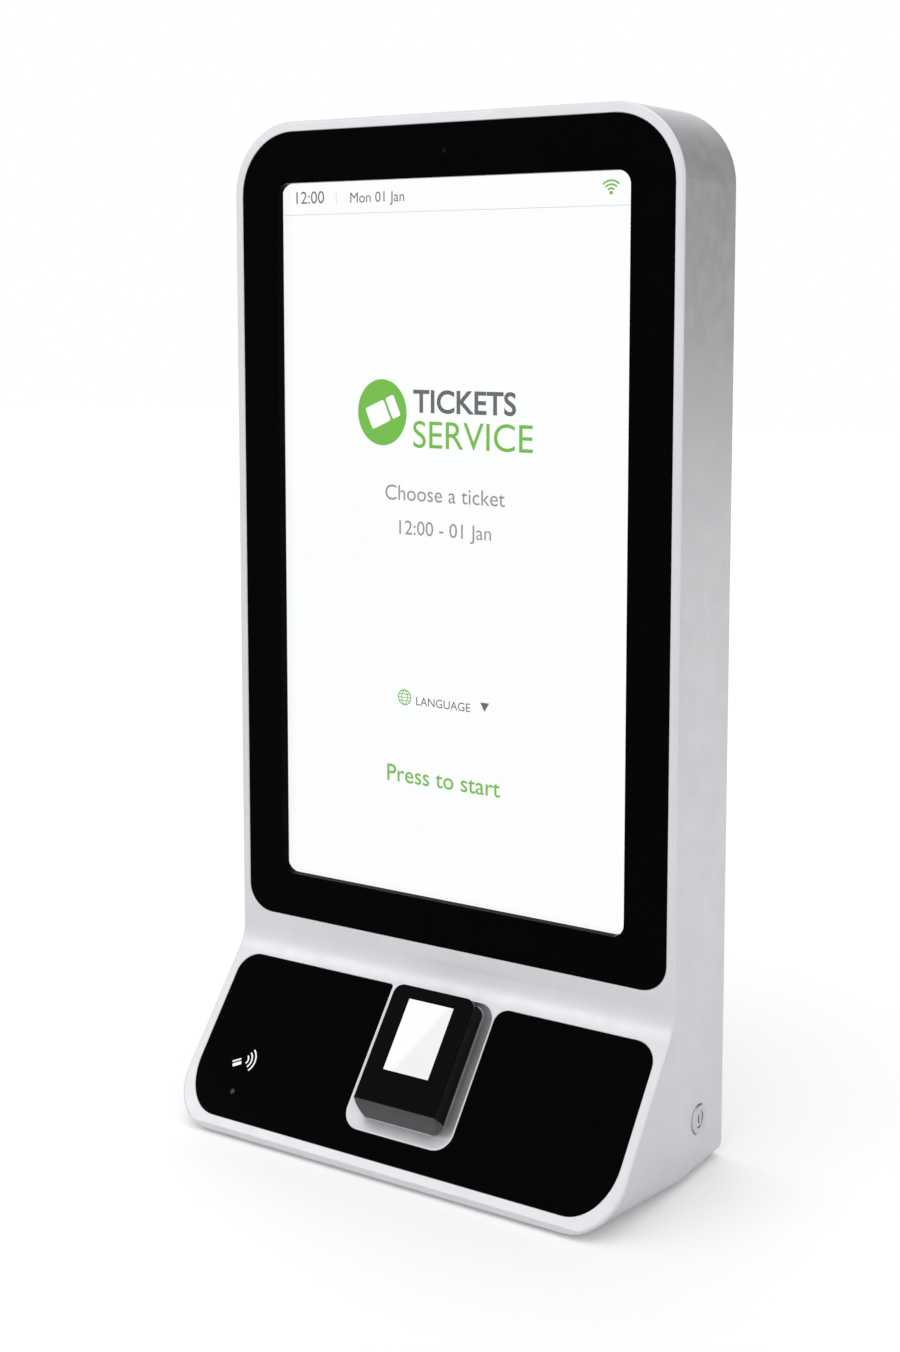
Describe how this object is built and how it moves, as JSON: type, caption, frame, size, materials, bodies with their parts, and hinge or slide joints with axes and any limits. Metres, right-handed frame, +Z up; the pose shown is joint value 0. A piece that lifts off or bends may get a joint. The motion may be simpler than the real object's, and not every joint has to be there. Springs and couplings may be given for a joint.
{
  "type": "self-service payment terminal",
  "caption": "Upright touch-screen terminal in a rounded silver housing, over a sloping black console with a raised contactless card reader; hinged locked back.",
  "frame": {"origin": "middle of the housing's outline, on the surface that the rubber feet stand on", "axes": "+Z up, the screen and the console face -Y, the lock is on the +X side"},
  "size_m": [0.3409, 0.158, 0.677],
  "materials": {
    "bare_aluminium": "mill finish",
    "black_gloss": "polished black",
    "black_plastic": "moulded",
    "black_rubber": "matte",
    "brass": "turned",
    "cable_jacket": "flexible jacket",
    "circuit_board": "green solder mask",
    "display_module": "dark display behind the glass",
    "led_lens": "smoked lens",
    "lock_chrome": "bright plated",
    "plated_steel": "zinc plated",
    "reader_screen": "white backlit display",
    "screen_glass": "clear touch glass",
    "silver_paint": "satin silver paint, fine grained"
  },
  "bodies": {
    "housing": {"antenna_board": "circuit_board", "bezel_frame": "black_gloss", "board_connectors": "black_plastic", "board_screws": "plated_steel", "board_standoffs": "brass", "cable_grommet": "black_rubber", "camera_module": "black_plastic", "chassis_plate": "plated_steel", "chassis_screws": "plated_steel", "chassis_standoffs": "brass", "connector_plate": "plated_steel", "console_panel": "black_gloss", "cover_stops": "black_plastic", "display_cable": "cable_jacket", "display_strap_lower": "plated_steel", "display_strap_middle": "plated_steel", "display_strap_upper": "plated_steel", "fan_frame": "black_plastic", "fan_screws": "plated_steel", "front_shell": "silver_paint", "heat_sink": "bare_aluminium", "hinge_pin_lower": "plated_steel", "hinge_pin_upper": "plated_steel", "inlet_pins": "brass", "lcd_panel": "display_module", "lock_body": "lock_chrome", "lock_nut": "plated_steel", "mainboard": "circuit_board", "memory_module": "circuit_board", "plate_screws": "plated_steel", "power_inlet": "black_plastic", "power_lead": "cable_jacket", "power_supply": "bare_aluminium", "processor": "black_plastic", "reader_cable": "cable_jacket", "reader_core": "black_plastic", "reader_display": "reader_screen", "reader_gasket": "black_rubber", "reader_housing": "black_gloss", "reader_screws": "plated_steel", "rubber_feet": "black_rubber", "shell_leaf_lower": "plated_steel", "shell_leaf_screws": "plated_steel", "shell_leaf_upper": "plated_steel", "status_led": "led_lens", "strap_screws": "plated_steel", "supply_screws": "plated_steel", "switch_frame": "black_plastic", "touch_glass": "screen_glass"},
    "rear_cover": {"rear_cover": "silver_paint", "cover_leaf_lower": "plated_steel", "cover_leaf_upper": "plated_steel", "cover_leaf_screws": "plated_steel", "strike_plate": "plated_steel", "strike_rivets": "plated_steel"},
    "lock_plug": {"lock_cylinder": "lock_chrome", "lock_cam": "plated_steel", "cam_screw": "plated_steel"},
    "rocker": {"rocker_button": "black_plastic"},
    "fan_rotor": {"fan_rotor": "black_plastic"}
  },
  "joints": [
    {"name": "cover_hinge", "type": "hinge", "parent": "housing", "child": "rear_cover", "pos_m": [-0.164, 0.0775, 0.335], "axis": [0, 0, 1], "range_deg": [0, 88]},
    {"name": "lock_turn", "type": "hinge", "parent": "housing", "child": "lock_plug", "pos_m": [0.16, 0.0414, 0.0379], "axis": [1, 0, 0], "range_deg": [0, 90]},
    {"name": "rocker_tilt", "type": "hinge", "parent": "housing", "child": "rocker", "pos_m": [0.017, 0.0735, 0.026], "axis": [-1, 0, 0], "range_deg": [0, 16]},
    {"name": "fan_spin", "type": "hinge", "parent": "housing", "child": "fan_rotor", "pos_m": [0.075, 0.066, 0.515], "axis": [0, 1, 0], "continuous": true}
  ]
}
